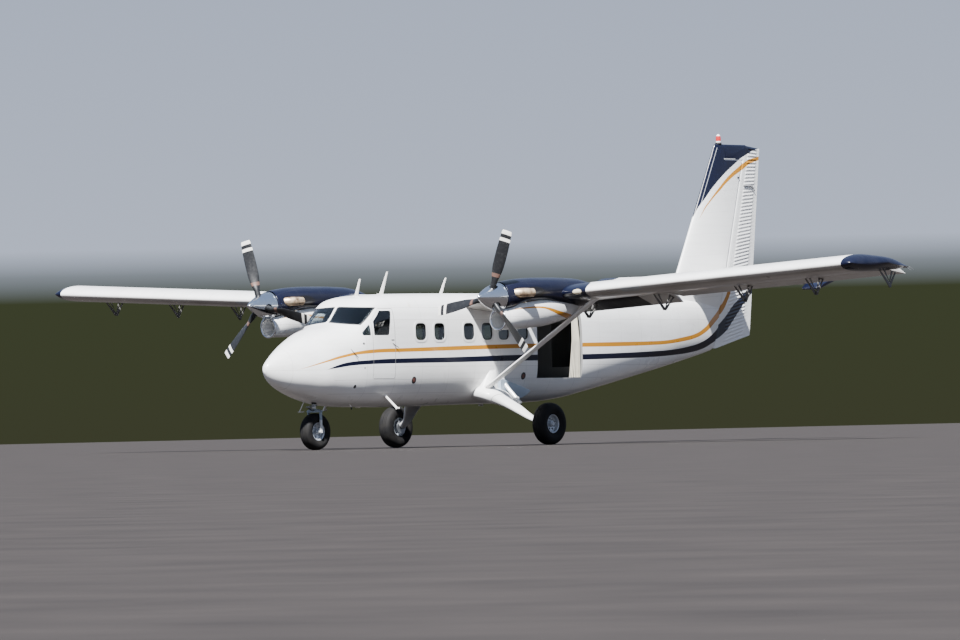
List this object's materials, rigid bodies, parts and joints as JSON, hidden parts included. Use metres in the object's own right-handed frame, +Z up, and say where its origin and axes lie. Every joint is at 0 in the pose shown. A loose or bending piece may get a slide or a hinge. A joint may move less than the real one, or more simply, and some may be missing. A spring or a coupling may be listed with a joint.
{
  "type": "turboprop airliner",
  "caption": "High-wing, strut-braced utility turboprop airliner with a propeller nacelle on each wing, a tall fin and fixed tricycle landing gear.",
  "frame": {"origin": "on the ground, below the centre of the whole aircraft's box", "axes": "-Y towards the nose, +X to the port side, +Z up"},
  "size_m": [19.812, 15.09, 6.125],
  "materials": {
    "white_skin": "gloss white paint over sheet metal",
    "navy_skin": "gloss navy paint over sheet metal",
    "polished": "polished bare metal",
    "blade": "satin dark grey paint",
    "gear_steel": "gloss white paint on steel",
    "strut_steel": "satin",
    "engine_steel": "heat-stained",
    "rim": "satin cast alloy",
    "tyre": "matt rubber",
    "glazing": "clear acrylic",
    "seat": "matt",
    "panel": "matt black",
    "lining": "matt grey",
    "curtain": "woven",
    "beacon": "clear red"
  },
  "bodies": {
    "airframe": {"nose_cone": "white_skin", "cockpit_belly": "white_skin", "cockpit_upper": "white_skin", "cabin_belly": "white_skin", "cabin_side_right": "white_skin", "cabin_side_left_front": "white_skin", "cabin_side_left_rear": "white_skin", "cabin_roof": "white_skin", "tail_cone": "white_skin", "wing_left": "white_skin", "wing_right": "white_skin", "wing_strut_left": "white_skin", "wing_strut_right": "white_skin", "lower_cowl_left": "white_skin", "lower_cowl_right": "white_skin", "fin": "white_skin", "tailplane_left": "white_skin", "tailplane_right": "white_skin", "wing_tip_left": "navy_skin", "wing_tip_right": "navy_skin", "upper_cowl_left": "navy_skin", "upper_cowl_right": "navy_skin", "main_gear_leg_left": "gear_steel", "main_gear_leg_right": "gear_steel", "nose_gear_leg": "strut_steel", "engine_left": "engine_steel", "engine_right": "engine_steel", "windshield_left": "glazing", "windshield_right": "glazing", "quarter_window_left": "glazing", "quarter_window_right": "glazing", "crew_seat_left": "seat", "crew_seat_right": "seat", "instrument_panel": "panel", "rear_bulkhead": "lining", "doorway_curtain": "curtain", "beacon": "beacon"},
    "propeller_left": {"propeller_left_blades": "blade", "propeller_left_spinner": "polished"},
    "propeller_right": {"propeller_right_blades": "blade", "propeller_right_spinner": "polished"},
    "nose_fork": {"nose_fork": "strut_steel"},
    "nose_wheel": {"nose_rim": "rim", "nose_tyre": "tyre"},
    "main_wheel_left": {"main_rim_left": "rim", "main_tyre_left": "tyre"},
    "main_wheel_right": {"main_rim_right": "rim", "main_tyre_right": "tyre"},
    "aileron_left": {"aileron_left": "white_skin"},
    "aileron_right": {"aileron_right": "white_skin"},
    "flap_left": {"flap_left": "white_skin"},
    "flap_right": {"flap_right": "white_skin"},
    "elevators": {"elevators": "white_skin"},
    "rudder": {"rudder": "white_skin"},
    "crew_door_left": {"crew_door_left": "white_skin", "crew_door_window_left": "glazing"},
    "crew_door_right": {"crew_door_right": "white_skin", "crew_door_window_right": "glazing"}
  },
  "joints": [
    {"name": "propeller_left", "type": "hinge", "parent": "airframe", "child": "propeller_left", "pos_m": [2.856, -4.425, 2.764], "axis": [0, -1, 0], "continuous": true},
    {"name": "propeller_right", "type": "hinge", "parent": "airframe", "child": "propeller_right", "pos_m": [-2.856, -4.425, 2.764], "axis": [0, -1, 0], "continuous": true},
    {"name": "nose_steering", "type": "hinge", "parent": "airframe", "child": "nose_fork", "pos_m": [0, -6.185, 0.73], "axis": [0, 0, 1], "range_deg": [-60, 60]},
    {"name": "nose_wheel", "type": "hinge", "parent": "nose_fork", "child": "nose_wheel", "pos_m": [0, -6.165, 0.344], "axis": [1, 0, 0], "continuous": true},
    {"name": "main_wheel_left", "type": "hinge", "parent": "airframe", "child": "main_wheel_left", "pos_m": [1.915, -1.635, 0.4], "axis": [1, 0, 0], "continuous": true},
    {"name": "main_wheel_right", "type": "hinge", "parent": "airframe", "child": "main_wheel_right", "pos_m": [-1.915, -1.635, 0.4], "axis": [1, 0, 0], "continuous": true},
    {"name": "aileron_left", "type": "hinge", "parent": "airframe", "child": "aileron_left", "pos_m": [7.05, -1.1744, 2.6286], "axis": [0.9986, 0, 0.0523], "range_deg": [-17, 17]},
    {"name": "aileron_right", "type": "hinge", "parent": "airframe", "child": "aileron_right", "pos_m": [-7.05, -1.1744, 2.6286], "axis": [0.9986, 0, -0.0523], "range_deg": [-17, 17]},
    {"name": "flap_left", "type": "hinge", "parent": "airframe", "child": "flap_left", "pos_m": [2.6825, -1.1744, 2.3997], "axis": [-0.9986, 0, -0.0523], "range_deg": [-24, 13.5]},
    {"name": "flap_right", "type": "hinge", "parent": "airframe", "child": "flap_right", "pos_m": [-2.6825, -1.1744, 2.3997], "axis": [-0.9986, 0, 0.0523], "range_deg": [-24, 13.5]},
    {"name": "elevators", "type": "hinge", "parent": "airframe", "child": "elevators", "pos_m": [0, 5.755, 3.12], "axis": [1, 0, 0], "range_deg": [-33.5, 6.5]},
    {"name": "rudder", "type": "hinge", "parent": "airframe", "child": "rudder", "pos_m": [0, 6.23977, 3.12], "axis": [0, 0.2794, 0.9602], "range_deg": [-16, 16]},
    {"name": "crew_door_left", "type": "hinge", "parent": "airframe", "child": "crew_door_left", "pos_m": [0.852, -5.43, 1.7], "axis": [0.0436, 0, -0.999], "range_deg": [0, 90]},
    {"name": "crew_door_right", "type": "hinge", "parent": "airframe", "child": "crew_door_right", "pos_m": [-0.852, -5.43, 1.7], "axis": [0.0436, 0, 0.999], "range_deg": [0, 90]}
  ],
  "couplings": [
    {"joint": "aileron_right", "follows": "aileron_left", "ratio": -1},
    {"joint": "flap_right", "follows": "flap_left", "ratio": 1}
  ]
}
